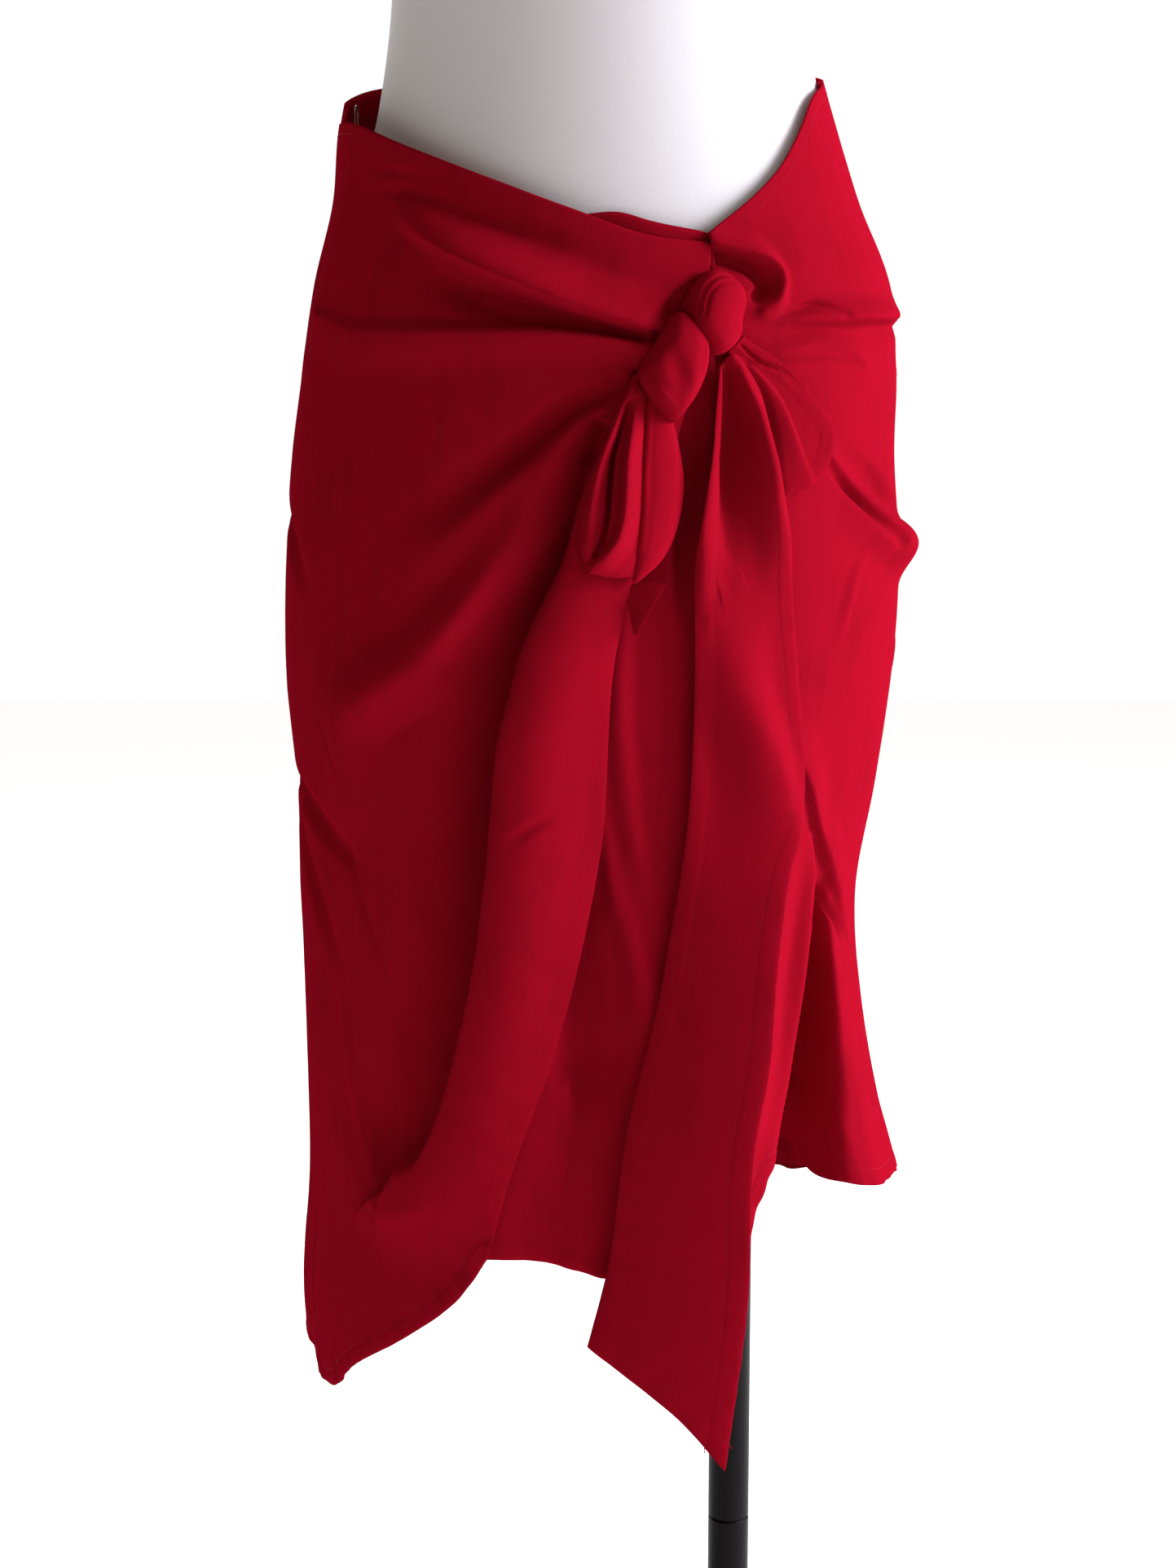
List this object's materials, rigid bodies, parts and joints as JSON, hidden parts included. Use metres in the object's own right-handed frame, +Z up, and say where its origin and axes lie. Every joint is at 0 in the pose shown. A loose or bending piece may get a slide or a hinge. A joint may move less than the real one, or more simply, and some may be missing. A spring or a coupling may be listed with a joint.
{
  "type": "wrap tie skirt on a limbless dress form and stand",
  "caption": "Red wrap-front midi skirt with a knotted half-bow tie and an uneven hem, on a limbless dress form with an off-centre pole and a round base plate.",
  "frame": {"origin": "centre of the base plate's underside, on the floor under the form's own axis", "axes": "+Z up, +X to the picture's right (the wearer's left side), -Y to the front of the skirt"},
  "size_m": [0.38, 0.38, 1.5113],
  "materials": {
    "satin_crepe": "satin-backed crepe, soft sheen",
    "form_cover": "matt white stretch cover",
    "neck_cap": "matt moulded",
    "pole_black": "satin black powder coat",
    "base_black": "satin black powder coat",
    "hook_metal": "nickelled wire"
  },
  "bodies": {
    "root": {"skirt_back": "satin_crepe", "front_over": "satin_crepe", "front_under": "satin_crepe", "front_right": "satin_crepe", "tie_long_tail": "satin_crepe", "tie_short_end": "satin_crepe", "knot_upper": "satin_crepe", "knot_lower": "satin_crepe", "tie_loop": "satin_crepe", "tie_loop_outer": "satin_crepe", "tie_tip": "satin_crepe", "form_torso": "form_cover", "form_neck_cap": "neck_cap", "pole_socket": "pole_black", "pole_upper": "pole_black", "pole_lower": "pole_black", "base_collar": "base_black", "base_plate": "base_black", "hook_eye": "hook_metal"}
  },
  "joints": []
}
